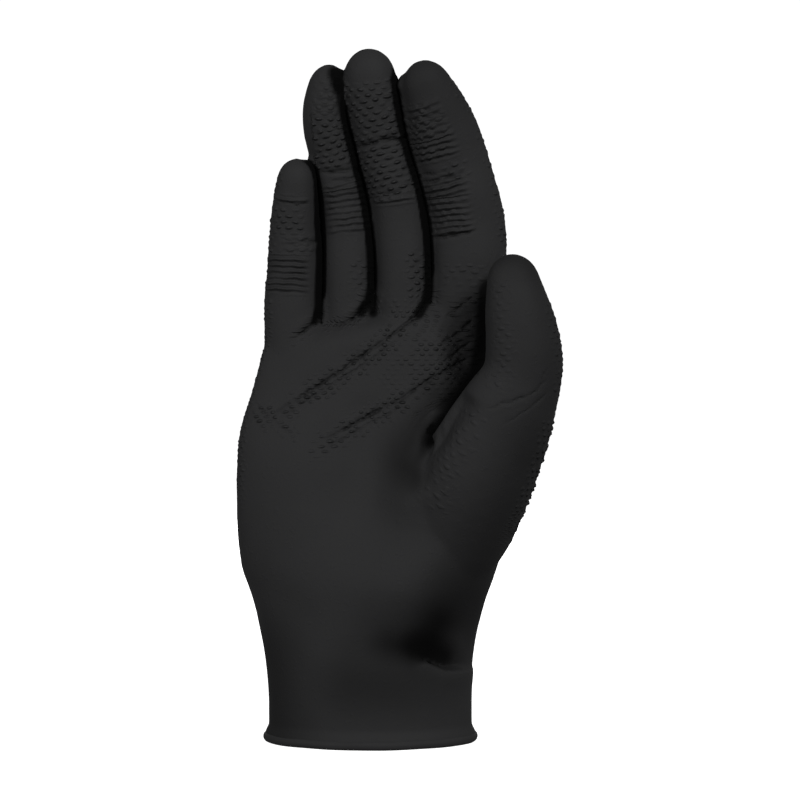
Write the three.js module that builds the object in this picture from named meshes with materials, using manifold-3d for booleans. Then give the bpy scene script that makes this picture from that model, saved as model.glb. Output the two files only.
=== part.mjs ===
// A disposable nitrile glove in the form that it has on a right hand: one dipped film, hollow from the
// cuff to every fingertip, with a rolled rim round the cuff. It is a single solid, as the real glove is.
//
// Millimetres. +Z runs from the cuff to the fingertips, the palm faces -Y and the thumb is on the +X side.
// The origin is the centre of the cuff opening, in the plane of the rim's lowest edge.
import * as THREE from 'three';
import { LoftGeometry } from 'three/addons/geometries/LoftGeometry.js';
import { mergeVertices } from 'three/addons/utils/BufferGeometryUtils.js';
import Module from 'manifold-3d';

// The film and its rolled rim.
const wall = 1.3;
const rimRadius = 1.7;

// The cuff's tube, and the hand's body above it.
const cuff = { width: 71, depth: 48 };
const palm = { width: 86, depth: 34 };
const webHeight = 154; // from the rim's lowest edge to the web between the middle and ring fingers
const webSlope = 0.2; // how fast the line of webs climbs from the little finger to the index finger
const crownHeight = 9; // the domed end of the body, over which the fingers leave it

// The five digits: from the base to the end, the domed tip's part of that, and the greatest girth.
const little = { length: 56.6, tip: 8, width: 18.2, depth: 15.5 };
const ring = { length: 81.6, tip: 9, width: 17.4, depth: 16.8 };
const middle = { length: 86.4, tip: 10, width: 18.8, depth: 17.6 };
const index = { length: 81, tip: 9.5, width: 25, depth: 19 };
const thumb = { length: 97.5, tip: 9.5, width: 42, depth: 33 };

// How finely the skin is faceted. `frontCrowding` draws the body's corners to its palm side.
const bodyCorners = 40;
const frontCrowding = 0.35;
const digitCorners = 15;
const stationSpacing = 6;
const domeSteps = 4;

// Sections of the body from the rim up. `up` is a share of the way from the rim's top to the web. The
// section reaches to `left` and `right` of the origin, and by `half` to the front and back of a line set
// `back` behind the origin: shares of the width and depth of the piece named by `of`. `cup` bends both
// sides forward, and is a share of the depth too. `slope` is the share of the web slope that it leans by.
const bodySections = [
  { up: 0, of: cuff, left: 0.5, right: 0.5, half: 0.5, back: 0, cup: 0, slope: 0 },
  { up: 0.1, of: cuff, left: 0.503, right: 0.5, half: 0.495, back: 0, cup: 0, slope: 0 },
  { up: 0.17, of: cuff, left: 0.518, right: 0.505, half: 0.485, back: 0, cup: 0, slope: 0 },
  { up: 0.24, of: cuff, left: 0.545, right: 0.53, half: 0.465, back: 0, cup: 0, slope: 0 },
  { up: 0.31, of: palm, left: 0.478, right: 0.47, half: 0.62, back: 0, cup: 0.04, slope: 0 },
  { up: 0.37, of: palm, left: 0.516, right: 0.508, half: 0.59, back: -0.01, cup: 0.08, slope: 0 },
  { up: 0.44, of: palm, left: 0.532, right: 0.548, half: 0.56, back: -0.01, cup: 0.12, slope: 0.1 },
  { up: 0.54, of: palm, left: 0.54, right: 0.585, half: 0.53, back: 0, cup: 0.18, slope: 0.2 },
  { up: 0.64, of: palm, left: 0.54, right: 0.59, half: 0.49, back: 0.01, cup: 0.22, slope: 0.35 },
  { up: 0.735, of: palm, left: 0.526, right: 0.57, half: 0.45, back: 0.02, cup: 0.2, slope: 0.55 },
  { up: 0.825, of: palm, left: 0.483, right: 0.555, half: 0.38, back: 0.03, cup: 0.14, slope: 0.8 },
  { up: 0.905, of: palm, left: 0.45, right: 0.545, half: 0.3, back: 0.035, cup: 0.08, slope: 1 },
];

// The pads, hollows and folds of the palm side. Each runs along a route, whose places are shares of the
// palm's width and of the web height. `rise` lifts the film along it, or sinks it where it is negative,
// as a share of the palm's depth, and fades over `reach`, a share of the palm's width.
const relief = [
  { name: 'ball of the thumb', route: [[0.18, 0.36], [0.3, 0.5], [0.36, 0.64]], rise: 0.27, reach: 0.23 },
  { name: 'side of the ball', route: [[0.16, 0.56], [0.195, 0.65]], rise: 0.15, reach: 0.1 },
  { name: 'heel of the hand', route: [[-0.26, 0.38], [-0.32, 0.62]], rise: 0.11, reach: 0.2 },
  { name: 'hollow of the palm', route: [[-0.02, 0.56], [0.03, 0.7]], rise: -0.08, reach: 0.16 },
  {
    name: 'pads below the fingers',
    route: [[-0.26, 0.86], [0.02, 0.92], [0.26, 0.9]],
    rise: 0.06,
    reach: 0.09,
  },
  {
    name: 'upper fold',
    route: [[0.19, 0.97], [0.1, 0.93], [0, 0.888], [-0.124, 0.838], [-0.287, 0.781], [-0.43, 0.735]],
    rise: -0.03,
    reach: 0.035,
  },
  {
    name: 'lower fold',
    route: [[0.39, 0.867], [0.227, 0.815], [0.12, 0.774], [0.01, 0.744], [-0.21, 0.674]],
    rise: -0.035,
    reach: 0.035,
  },
  {
    name: 'valley beside the thumb',
    route: [[0.43, 0.93], [0.38, 0.77], [0.27, 0.66]],
    rise: -0.13,
    reach: 0.08,
  },
  { name: 'hollow of the wrist', route: [[0.33, 0.3], [0.26, 0.22]], rise: -0.2, reach: 0.11 },
];

// How far each finger's base stands from its neighbour's, as a share of the mean of their widths. The ring
// and middle fingers lean together, and lie against each other at the tips.
const spacingShares = { littleToRing: 1.120899, ringToMiddle: 1.054807, middleToIndex: 1.060274 };
const middlePlace = 0.134 * palm.width;
const ringPlace = middlePlace - (spacingShares.ringToMiddle * (middle.width + ring.width)) / 2;
const littlePlace = ringPlace - (spacingShares.littleToRing * (ring.width + little.width)) / 2;
const indexPlace = middlePlace + (spacingShares.middleToIndex * (middle.width + index.width)) / 2;
const thumbPlace = 0.31 * palm.width;

// The forms of the digits. Each stands on its base: `place` is how far that is to the thumb's side of the
// origin, `forward` is a share of the palm's depth and `up` a share of the web height. The rows of its
// table run from a root inside the body to the centre of the domed tip: `up` is a share of the distance
// from the base to that centre, `across` and `forward` are shares of the digit's length, and `width` and
// `depth` are shares of its own. A row that is slimmer than both its neighbours is a joint's crease.
const digits = [
  {
    size: little,
    base: { place: littlePlace, forward: 0, up: 0.951 },
    rows: [
      { up: -0.8, across: 0.05, forward: -0.03, width: 0.9, depth: 0.8 },
      { up: -0.3, across: 0.012, forward: -0.01, width: 1.06, depth: 1 },
      { up: 0.17, across: 0, forward: 0.005, width: 1.06, depth: 1.04 },
      { up: 0.36, across: 0.008, forward: 0.015, width: 1, depth: 0.94 },
      { up: 0.5, across: 0.012, forward: 0.025, width: 1, depth: 1 },
      { up: 0.66, across: 0.013, forward: 0.045, width: 0.92, depth: 0.88 },
      { up: 0.82, across: 0.017, forward: 0.065, width: 0.85, depth: 0.92 },
      { up: 1, across: 0.03, forward: 0.095, width: 0.73, depth: 0.85 },
    ],
  },
  {
    size: ring,
    base: { place: ringPlace, forward: -0.07, up: 1 },
    rows: [
      { up: -0.5, across: 0.01, forward: 0.01, width: 0.95, depth: 0.8 },
      { up: -0.15, across: 0, forward: 0, width: 1.05, depth: 0.97 },
      { up: 0.06, across: 0, forward: 0, width: 1.06, depth: 1.03 },
      { up: 0.226, across: -0.001, forward: 0.004, width: 1.06, depth: 1 },
      { up: 0.36, across: -0.011, forward: 0.01, width: 1, depth: 0.93 },
      { up: 0.543, across: -0.034, forward: 0.025, width: 0.99, depth: 1 },
      { up: 0.66, across: -0.058, forward: 0.045, width: 0.94, depth: 0.87 },
      { up: 0.835, across: -0.098, forward: 0.085, width: 0.92, depth: 0.95 },
      { up: 0.92, across: -0.103, forward: 0.105, width: 0.87, depth: 0.93 },
      { up: 1, across: -0.09, forward: 0.125, width: 0.8, depth: 0.86 },
    ],
  },
  {
    size: middle,
    base: { place: middlePlace, forward: -0.02, up: 1.002 },
    rows: [
      { up: -0.5, across: -0.02, forward: -0.02, width: 0.85, depth: 0.75 },
      { up: -0.15, across: -0.003, forward: 0, width: 1, depth: 0.95 },
      { up: 0.05, across: 0, forward: 0, width: 1.01, depth: 1.02 },
      { up: 0.213, across: 0, forward: 0.006, width: 1.02, depth: 1 },
      { up: 0.363, across: -0.012, forward: 0.015, width: 0.99, depth: 0.92 },
      { up: 0.493, across: -0.03, forward: 0.025, width: 0.97, depth: 1 },
      { up: 0.62, across: -0.064, forward: 0.045, width: 0.96, depth: 0.98 },
      { up: 0.72, across: -0.084, forward: 0.062, width: 0.94, depth: 0.85 },
      { up: 0.84, across: -0.108, forward: 0.085, width: 1, depth: 0.95 },
      { up: 0.93, across: -0.126, forward: 0.105, width: 1.01, depth: 0.95 },
      { up: 1, across: -0.134, forward: 0.12, width: 0.97, depth: 0.88 },
    ],
  },
  {
    size: index,
    base: { place: indexPlace, forward: 0, up: 1.01 },
    rows: [
      { up: -0.55, across: -0.05, forward: -0.02, width: 0.8, depth: 0.75 },
      { up: -0.2, across: -0.01, forward: 0, width: 0.98, depth: 0.95 },
      { up: 0.05, across: 0, forward: 0, width: 1.03, depth: 1 },
      { up: 0.224, across: 0, forward: 0.01, width: 1.04, depth: 0.98 },
      { up: 0.368, across: -0.005, forward: 0.02, width: 1.03, depth: 0.9 },
      { up: 0.508, across: -0.034, forward: 0.04, width: 0.985, depth: 0.96 },
      { up: 0.63, across: -0.064, forward: 0.06, width: 0.98, depth: 0.84 },
      { up: 0.797, across: -0.11, forward: 0.1, width: 0.96, depth: 0.92 },
      { up: 0.92, across: -0.153, forward: 0.135, width: 0.83, depth: 0.86 },
      { up: 1, across: -0.184, forward: 0.155, width: 0.69, depth: 0.78 },
    ],
  },
  {
    size: thumb,
    base: { place: thumbPlace, forward: 0.3, up: 0.46 },
    rows: [
      { up: -0.32, across: -0.17, forward: -0.12, width: 0.5, depth: 0.5 },
      { up: -0.16, across: -0.09, forward: -0.06, width: 0.72, depth: 0.7 },
      { up: 0, across: -0.003, forward: 0, width: 0.94, depth: 0.86 },
      { up: 0.11, across: 0.047, forward: 0.045, width: 0.98, depth: 0.95 },
      { up: 0.22, across: 0.086, forward: 0.095, width: 0.965, depth: 0.97 },
      { up: 0.335, across: 0.132, forward: 0.135, width: 0.92, depth: 0.91 },
      { up: 0.445, across: 0.18, forward: 0.165, width: 0.85, depth: 0.82 },
      { up: 0.555, across: 0.222, forward: 0.19, width: 0.74, depth: 0.74 },
      { up: 0.65, across: 0.258, forward: 0.205, width: 0.65, depth: 0.63 },
      { up: 0.76, across: 0.258, forward: 0.215, width: 0.61, depth: 0.66 },
      { up: 0.89, across: 0.24, forward: 0.225, width: 0.54, depth: 0.6 },
      { up: 1, across: 0.224, forward: 0.225, width: 0.43, depth: 0.5 },
    ],
  },
];

// The colour and finish of the film.
const film = new THREE.MeshStandardMaterial({ color: 0x262627, roughness: 0.55, metalness: 0 });

const wasm = await Module();
wasm.setup();

// A smooth line through three columns of a table, read at a place from 0, the first row, to 1, the last.
function smoothColumns(rows, columns) {
  const curve = new THREE.CatmullRomCurve3(rows.map((row) => new THREE.Vector3(...columns(row))));
  return (place) => curve.getPoint(place);
}

// The places along a table at which rings are set: every row, and steps of about the spacing between.
function ringPlaces(heights) {
  const places = [0];
  for (let i = 1; i < heights.length; i++) {
    const steps = Math.max(1, Math.round((heights[i] - heights[i - 1]) / stationSpacing));
    for (let j = 1; j <= steps; j++) places.push((i - 1 + j / steps) / (heights.length - 1));
  }
  return places;
}

// How far the film of the palm is lifted at a place on it.
function reliefAt(x, z) {
  const here = new THREE.Vector3(x, z, 0);
  const nearest = new THREE.Vector3();
  return relief.reduce((sum, { route, rise, reach }) => {
    const points = route.map(([across, up]) => new THREE.Vector3(across * palm.width, up * webHeight, 0));
    const gaps = points.slice(1).map((end, i) => {
      new THREE.Line3(points[i], end).closestPointToPoint(here, true, nearest);
      return nearest.distanceTo(here);
    });
    const share = Math.min(...gaps) / (reach * palm.width);
    return sum + rise * palm.depth * Math.exp(-share * share);
  }, 0);
}

// One ring of the body. Its sides bend forward by `cup`, it leans by `slope`, and its palm side carries
// the relief, which is read on the outer skin so that the film keeps its thickness.
function bodyRing({ z, left, right, half, back, cup, slope }, inset) {
  const middle = (right - left) / 2;
  const halfWidth = (left + right) / 2;
  return Array.from({ length: bodyCorners }, (_, i) => {
    const turn = (i / bodyCorners) * 2 * Math.PI;
    const angle = turn - frontCrowding * Math.cos(turn);
    const sideways = Math.cos(angle);
    const outerX = middle + halfWidth * sideways;
    const height = z + slope * outerX;
    const lift = reliefAt(outerX, height) * Math.max(0, -Math.sin(angle));
    const x = middle + (halfWidth - inset) * sideways;
    const y = back + (half - inset) * Math.sin(angle) - cup * sideways * sideways - lift;
    return new THREE.Vector3(x, y, height);
  });
}

// The body from the rim to its domed end, `inset` inside the outer skin.
function bodyLoft(inset) {
  const rimTop = 2 * rimRadius;
  const heights = bodySections.map((s) => rimTop + s.up * (webHeight - rimTop));
  const rows = bodySections.map((s, i) => ({ ...s, z: heights[i] }));
  const widths = smoothColumns(rows, (s) => [s.z, s.left * s.of.width, s.right * s.of.width]);
  const depths = smoothColumns(rows, (s) => [s.half * s.of.depth, s.back * s.of.depth, s.cup * s.of.depth]);
  const slopes = smoothColumns(rows, (s) => [s.slope * webSlope, 0, 0]);
  const sectionAt = (place) => {
    const { x: z, y: left, z: right } = widths(place);
    const { x: half, y: back, z: cup } = depths(place);
    return { z, left, right, half, back, cup, slope: slopes(place).x };
  };
  const rings = rimRings(sectionAt(0), inset);
  for (const place of ringPlaces(heights)) rings.push(bodyRing(sectionAt(place), inset));
  const top = sectionAt(1);
  const dome = crownHeight - inset;
  for (let i = 1; i <= domeSteps; i++) {
    const angle = (i / (domeSteps + 1)) * (Math.PI / 2);
    const narrowing = dome * (1 - Math.cos(angle));
    rings.push(
      bodyRing(
        {
          ...top,
          z: top.z + dome * Math.sin(angle),
          left: top.left - inset - narrowing,
          right: top.right - inset - narrowing,
          half: (top.half - inset) * Math.cos(angle),
        },
        0,
      ),
    );
  }
  return new LoftGeometry(rings, { capStart: true, capEnd: true });
}

// The rings of the rolled rim. Outside they follow its round bulge, and inside its round lip, and there
// they start below the rim, so that the cuff is cut open.
function rimRings(first, inset) {
  const flat = 0.26; // half the narrow band that the rim ends in, as a share of its radius
  const lowest = Math.acos(flat);
  const level = rimRadius * Math.sin(lowest);
  const ringAt = (z, angle) => {
    const growth = rimRadius - wall + rimRadius * Math.cos(angle);
    const { left, right, half } = first;
    return bodyRing({ ...first, z, left: left + growth, right: right + growth, half: half + growth }, 0);
  };
  if (inset === 0) {
    return [-lowest, -0.7, -0.15, 0.4, 0.95].map((a) => ringAt(level + rimRadius * Math.sin(a), a));
  }
  const lip = [lowest, 0.8, 0.35].map((a) => ringAt(level - rimRadius * Math.sin(a), Math.PI - a));
  return [ringAt(-rimRadius, Math.PI - lowest), ...lip];
}

// A digit from its root inside the body to its domed tip, `inset` inside the outer skin.
function digitLoft({ size, base, rows }, inset) {
  const { length, tip, width, depth } = size;
  const reach = length - tip;
  const { place: sideways, forward, up } = base;
  const start = new THREE.Vector3(sideways, -forward * palm.depth, up * webHeight);
  const line = new THREE.CatmullRomCurve3(
    rows.map((r) => new THREE.Vector3(r.across * length, -r.forward * length, r.up * reach).add(start)),
  );
  const girth = smoothColumns(rows, (r) => [(r.width * width) / 2, (r.depth * depth) / 2, 0]);
  const ringAt = (centre, along, halfWidth, halfDepth) => {
    const across = new THREE.Vector3(1, 0, 0).addScaledVector(along, -along.x).normalize();
    const inward = new THREE.Vector3().crossVectors(along, across);
    return Array.from({ length: digitCorners }, (_, i) => {
      const angle = (i / digitCorners) * 2 * Math.PI;
      return centre
        .clone()
        .addScaledVector(across, halfWidth * Math.cos(angle))
        .addScaledVector(inward, halfDepth * Math.sin(angle));
    });
  };
  const rings = ringPlaces(rows.map((r) => r.up * reach)).map((place) => {
    const { x: halfWidth, y: halfDepth } = girth(place);
    return ringAt(line.getPoint(place), line.getTangent(place), halfWidth - inset, halfDepth - inset);
  });
  const end = line.getPoint(1);
  const along = line.getTangent(1);
  const { x: halfWidth, y: halfDepth } = girth(1);
  for (let i = 1; i <= domeSteps; i++) {
    const angle = (i / (domeSteps + 0.5)) * (Math.PI / 2);
    const centre = end.clone().addScaledVector(along, (tip - inset) * Math.sin(angle));
    const taper = Math.cos(angle);
    rings.push(ringAt(centre, along, (halfWidth - inset) * taper, (halfDepth - inset) * taper));
  }
  return new LoftGeometry(rings, { capStart: true, capEnd: true });
}

// A closed three.js geometry as a solid that can be joined and cut.
function solidOf(geometry) {
  const skin = new THREE.BufferGeometry();
  skin.setAttribute('position', geometry.getAttribute('position'));
  skin.setIndex(geometry.getIndex());
  const merged = mergeVertices(skin);
  return new wasm.Manifold(
    new wasm.Mesh({
      numProp: 3,
      vertProperties: merged.getAttribute('position').array,
      triVerts: new Uint32Array(merged.getIndex().array),
    }),
  );
}

// A joined solid back as a three.js geometry.
function geometryOf(solid) {
  const mesh = solid.getMesh();
  const geometry = new THREE.BufferGeometry();
  geometry.setAttribute('position', new THREE.BufferAttribute(mesh.vertProperties, 3));
  geometry.setIndex(new THREE.BufferAttribute(mesh.triVerts, 1));
  geometry.computeVertexNormals();
  return geometry;
}

// The whole hand's form, `inset` inside the outer skin.
function handForm(inset) {
  const body = solidOf(bodyLoft(inset));
  return digits.reduce((form, digit) => form.add(solidOf(digitLoft(digit, inset))), body);
}

const glove = new THREE.Mesh(geometryOf(handForm(0).subtract(handForm(wall))), film);
glove.name = 'glove';

const part = new THREE.Group();
part.add(glove);

export default part;
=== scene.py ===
"""A worn-shape nitrile glove: one dipped film with grip studs, gathers and folds, and a rolled rim."""
import math

import bmesh
import bpy
import numpy as np
from bpy.props import FloatProperty, FloatVectorProperty, PointerProperty
from mathutils import Matrix, Vector, noise
from mathutils.bvhtree import BVHTree


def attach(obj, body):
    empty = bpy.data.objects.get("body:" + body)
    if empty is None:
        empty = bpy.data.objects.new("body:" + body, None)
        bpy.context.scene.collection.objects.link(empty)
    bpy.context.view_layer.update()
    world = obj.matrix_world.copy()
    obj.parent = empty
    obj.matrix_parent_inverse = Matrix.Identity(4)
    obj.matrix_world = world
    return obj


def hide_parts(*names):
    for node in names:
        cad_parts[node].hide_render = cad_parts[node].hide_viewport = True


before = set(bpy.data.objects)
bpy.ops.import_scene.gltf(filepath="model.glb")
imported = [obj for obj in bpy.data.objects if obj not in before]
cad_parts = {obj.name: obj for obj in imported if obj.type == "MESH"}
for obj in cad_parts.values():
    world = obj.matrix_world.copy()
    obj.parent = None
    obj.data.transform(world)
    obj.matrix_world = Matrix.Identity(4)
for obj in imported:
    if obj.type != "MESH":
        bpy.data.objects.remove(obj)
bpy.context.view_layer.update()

bl_info = {
    "name": "Nitrile Glove",
    "version": (1, 0, 0),
    "blender": (4, 5, 0),
    "location": "3D View > Sidebar > Glove",
    "description": "Builds a nitrile glove in its worn form, with grip studs, folds and a rolled rim",
    "category": "Object",
}

MM = 0.001

# Heights of the cuff's end in metres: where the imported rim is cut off, how far the film runs straight down
# from there, and where it ends inside the rolled rim.
RIM_CUT = 4 * MM
RUN_DOWN = 8 * MM
FILM_END = 1.8 * MM

# Points nearer to each other than this are merged.
MERGE_DISTANCE = 0.01 * MM

# How far the skin goes in before it is remeshed and smoothed, and out again after it, in millimetres.
SHRINK = 0.45
SWELL = 0.75

# Heights in millimetres between which the thumb parts from the palm.
THUMB_START = (62, 84)

# Centre lines of the digits, in millimetres: (across, depth, up, half width, half depth) per row.
DIGITS = {
    "little": [
        (-26.8, 0.6, 131.9, 9.6, 7.8),
        (-27.5, -0.3, 154.7, 9.6, 8.1),
        (-26.8, -1.4, 170.8, 9.1, 7.8),
        (-26.6, -3.7, 186.3, 7.7, 7.1),
        (-25.8, -5.4, 195.1, 6.6, 6.6),
        (-25.2, -7, 203, 6.6, 6.6),
    ],
    "ring": [
        (-7.6, 2.4, 143.1, 9.1, 8.1),
        (-7.6, 2.1, 170.4, 9.2, 8.4),
        (-10.3, 0.3, 193.4, 8.6, 8.4),
        (-15.6, -4.6, 214.6, 8, 8),
        (-14.9, -7.8, 226.6, 7, 7.2),
        (-13.8, -9.6, 235, 7, 7.2),
    ],
    "middle": [
        (11.3, 0.7, 142.8, 9.4, 8.4),
        (11.5, 0.2, 170.6, 9.6, 8.8),
        (8.9, -1.5, 192, 9.1, 8.8),
        (4.3, -4.7, 209.3, 8.8, 7.5),
        (0.6, -8.4, 225.4, 9.5, 8.4),
        (-1.4, -12, 240, 9.1, 7.7),
    ],
    "index": [
        (33.9, 0, 141.2, 12.2, 9),
        (34.7, -0.8, 171.6, 13, 9.3),
        (32, -3.2, 191.9, 12.3, 9.1),
        (25.8, -8.1, 212.5, 12, 8.7),
        (19.8, -12.6, 227, 8.6, 7.4),
        (17, -14.8, 235, 8.6, 7.4),
    ],
    "thumb": [
        (26.4, -10.2, 70.8, 19.7, 14.2),
        (35, -19.5, 90.2, 20.3, 16),
        (44.2, -26.3, 110, 17.8, 13.5),
        (51.8, -30.2, 128, 13.7, 10.4),
        (50.1, -32.1, 149.2, 11.3, 9.9),
        (48, -32.1, 167, 9, 8.2),
    ],
}

# Where the grip shows: digit, low and high in millimetres along it, left and right as shares of its half
# width, and the strengths of its studs and of its small gathers.
GRIP = [
    ("middle", 210, 230, -1.3, 0.8, 0.9, 0.1),
    ("middle", 190, 209, -1.3, 1.3, 1, 0.2),
    ("middle", 188, 190, -0.8, 0.6, 0, 1),
    ("middle", 146, 171, 0.2, 1.3, 0.8, 0),
    ("ring", 219, 232, -0.6, 0.5, 0.35, 0.25),
    ("ring", 202, 219, -1.3, 1, 1, 0.1),
    ("ring", 178, 196, -0.6, 1, 0.15, 0.8),
    ("ring", 146, 168, 0.1, 1.3, 0.4, 0),
    ("index", 205, 224, -1, 0.15, 0.7, 0.8),
    ("index", 197, 203, -0.3, 0.3, 0.5, 0),
    ("index", 178, 198, -1, 0.1, 0.3, 0.9),
    ("index", 146, 166, -0.6, 0.4, 0.45, 0),
    ("index", 140, 228, 0.95, 1.8, 1.6, 0),
    ("little", 188.5, 190.5, -0.8, 0.6, 0, 0.8),
    ("little", 178, 187, -0.9, 0.4, 0.6, 0),
    ("little", 171, 177, -0.5, 0.8, 0.35, 0.2),
    ("little", 157, 170, -1, 0.5, 0, 1),
    ("little", 130, 198, -1.8, -0.84, 1.1, 0),
    ("thumb", 122, 160, -0.7, -0.3, 0.25, 0),
    ("thumb", 84, 114, -0.8, -0.4, 0.25, 0),
    ("thumb", 62, 118, 0.8, 1.8, 2.4, 0),
    ("thumb", 118, 160, 0.92, 1.8, 1.2, 0),
]

# Folds of the palm side: half width and depth in millimetres, how far studs spread from it, and a route
# of (across, up) places. The film is drawn into a line, and swells a little on both sides of it.
FOLDS = [
    ("upper fold", 0.8, 0.6, 5.5, [
        (21, 157), (20.1, 153.8), (17.3, 149.2), (12.7, 145.8), (5.7, 140.3), (0, 136.5), (-10.4, 129),
        (-24.2, 120.2), (-37, 112.5),
    ]),
    ("below the upper fold", 0.6, 0.3, 5, [(12, 142), (-1, 132), (-12, 125.5), (-25, 117.2), (-35, 111)]),
    ("lower fold", 0.8, 0.7, 5, [
        (35.5, 134.5), (26.5, 129.5), (19.3, 125.4), (10.3, 119.2), (1, 114.7), (-17.5, 104.1),
    ]),
    ("below the lower fold", 0.6, 0.25, 4.5, [(12, 117.4), (1, 111.8), (-18, 101)]),
    ("upper palm crease", 0.8, 0.6, 4.5, [(36, 155), (31, 151.5), (25.5, 147.5)]),
    ("middle palm crease", 0.8, 0.65, 4.5, [(36, 147), (30, 142), (24.2, 138)]),
    ("lower palm crease", 0.8, 0.5, 4.5, [(35.5, 140), (30, 135.5), (24.9, 132)]),
    ("ring and middle web", 1.1, 1.1, 4, [
        (1.5, 159), (0.2, 153.8), (-2.9, 149.8), (-7, 146.9), (-13.9, 144.6),
    ]),
    ("little and ring web", 1.1, 0.8, 3.5, [(-17.2, 151), (-19.1, 146.3), (-26, 140.6)]),
    ("outer palm line", 0.8, 0.25, 3.5, [(-40, 118), (-33, 112), (-26, 107)]),
    ("inner palm line", 0.8, 0.15, 6, [(30, 122), (24, 117), (17, 112)]),
]

# The distance in millimetres that stands for no fold at all.
FAR_FROM_FOLDS = 6.0

# Creases across the digits: digit, height at its left and right edge, sag between, where the crease
# begins and ends as shares of the half width, half width and depth.
JOINTS = [
    ("middle", 209.6, 209, -1, -1.2, 1.2, 0.9, 0.8),
    ("middle", 193, 193.6, 0.4, -0.8, 0.8, 0.8, 0.25),
    ("ring", 200, 198, -1.4, -0.6, 1.2, 0.9, 0.7),
    ("ring", 196.8, 196, -0.6, -0.2, 0.8, 0.7, 0.35),
    ("index", 201, 201.6, 0.2, -1.2, 0, 0.9, 0.3),
    ("index", 198.6, 198.4, -0.3, -1.2, 0.1, 0.7, 0.6),
    ("index", 177.6, 178.2, -0.3, -1.2, 0.15, 0.7, 0.6),
    ("little", 188, 188.6, 0.2, -0.8, 0.7, 0.6, 0.35),
    ("little", 174.6, 175.4, 0.3, -0.2, 1, 0.8, 0.35),
    ("thumb", 108.7, 134.9, 0, -0.35, 0.5, 0.7, 0.4),
    ("thumb", 94.5, 134.6, 0, 0.05, 0.55, 0.6, 0.25),
]

# Where shade and shadow are painted into the film's colour as darker film: what it is on, its reach in
# millimetres, how soft its edge is from 0 to 1, its strength, and a route of (across, up) places on the palm
# side.
PAINTED_SHADE_ROUTES = [
    ("beside the thumb", "body", 5.4, 0.4, 0.95, [
        (42, 157), (41.5, 150), (41, 140), (38.5, 127), (31.5, 114), (26.5, 106.5),
    ]),
    ("foot of the thumb", "body", 6, 0.8, 0.8, [(35, 124), (28.5, 116), (23, 107.5), (19.5, 101)]),
    ("towards the palm", "body", 14, 1, 0.46, [(42.5, 152), (40, 138), (36.5, 126), (28, 112), (18, 99)]),
    ("left of the thumb's foot", "body", 9, 1, 0.55, [(27, 118), (21.5, 110), (18, 104), (15, 96)]),
    ("at the ridge's foot", "body", 4.5, 1, 0.45, [(26, 112), (22.5, 107.5), (19.5, 102.5)]),
    ("foot of the ring and middle web", "body", 1.9, 0.5, 0.95, [(1, 155), (0.9, 149.6)]),
    ("index and middle web", "body", 2.1, 0.4, 0.95, [
        (20.4, 166), (20.4, 158.4), (19.4, 153.8), (16.8, 149.2),
    ]),
    ("ring and middle web", "body", 2.1, 0.4, 0.95, [(0.6, 166), (0.6, 158.4), (-0.4, 153.8), (-3.2, 149.8)]),
    ("little and ring web", "body", 1.1, 0.5, 0.95, [(-17, 160), (-17.5, 149.2), (-19.1, 146.3)]),
    ("wrist hollow", "hollow", 6.5, 0.9, 0.9, [(16, 34), (20, 33), (25, 30.5)]),
    ("left of the hollow", "hollow", 7, 1, 0.6, [(7, 34.5), (16, 34)]),
    ("above the hollow", "hollow", 8, 1, 0.8, [(20, 36), (24, 43.5)]),
    ("round the hollow", "hollow", 18, 1, 0.4, [(10, 37), (31, 43)]),
    ("under the ball", "cuff", 13, 1, 0.38, [(33, 50), (41, 66), (47, 84), (53, 98)]),
    # Painted shadow that the middle fingertip casts on the ring finger.
    ("behind the middle fingertip", "ring", 3, 0.5, 1, [(-12, 232), (-10.6, 227)]),
    ("below the middle fingertip", "ring", 1.9, 0.5, 0.9, [(-10.6, 227), (-9, 218), (-6.4, 209.6)]),
    # Painted shade that dims the thumb and the index fingertip where the key light falls most.
    ("thumb's tip", "thumb", 9, 1, 0.4, [(42, 172), (56, 168)]),
    ("thumb's outer side", "thumb", 14, 1, 0.3, [(60, 160), (64, 138), (58, 112)]),
    ("index fingertip", "index", 15, 1, 0.25, [(16, 236), (28, 224)]),
    # Painted shade on the cuff's left side, turned from the key light, and below the hollow.
    ("cuff's side", "cuff", 17, 1, 0.45, [(-38, 28), (-34, 4)]),
    ("cuff below the hollow", "cuff", 13, 1, 0.45, [(-6, 22), (12, 22), (19, 23)]),
]

# The shelf below the wrist's hollow, where the film passes on to the cuff: places across, and heights. Its
# edge grows soft between the two places across.
SHELF = ([4, 12, 17, 25.5, 36], [36, 33.4, 30.4, 26.4, 25.2])
SHELF_SOFTENS = (20, 13)
SHELF_HEIGHT = 1.1

# The valley from the thumb's foot down into the palm, and the strip left of it where the film sinks with it:
# depth and half width in millimetres, and a route of (across, up) places.
VALLEY = (1.8, 4.5, [(34, 122), (27.5, 113), (22, 105.5), (18, 98)])
BESIDE_VALLEY = (2.1, 5.5, [(23, 117), (19, 106), (15, 94)])

# The body's section at a few heights, in millimetres, as the grip pattern is laid round it.
PALM_MIDDLE = ([0, 60, 110, 160], [0, 0, 2, 4])
PALM_HALF_WIDTH = ([0, 40, 60, 110, 160], [36, 39, 45, 48, 43])
PALM_HALF_DEPTH = ([0, 40, 110, 160], [24, 21, 17, 11])

# The soft lights: name, place and size in metres, and power as a share of the key light's.
LIGHTS = [
    ("key_light", (0.62, -1.1, 0.8), (0.32, 0.32), 1.0),
    ("fill_light", (-0.8, -1.0, 0.5), (0.9, 0.9), 0.6),
    ("back_light", (0.0, 1.4, 0.4), (0.8, 0.8), 0.8),
    ("edge_light", (0.9, 0.35, 0.3), (0.3, 0.8), 0.04),
]
LIGHT_AIM = (0.0, 0.0, 0.12)

# The camera looks level at this place across and up, with this lens in millimetres.
VIEW_CENTRE = (0.01034, 0.1192)
LENS = 102.7


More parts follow.
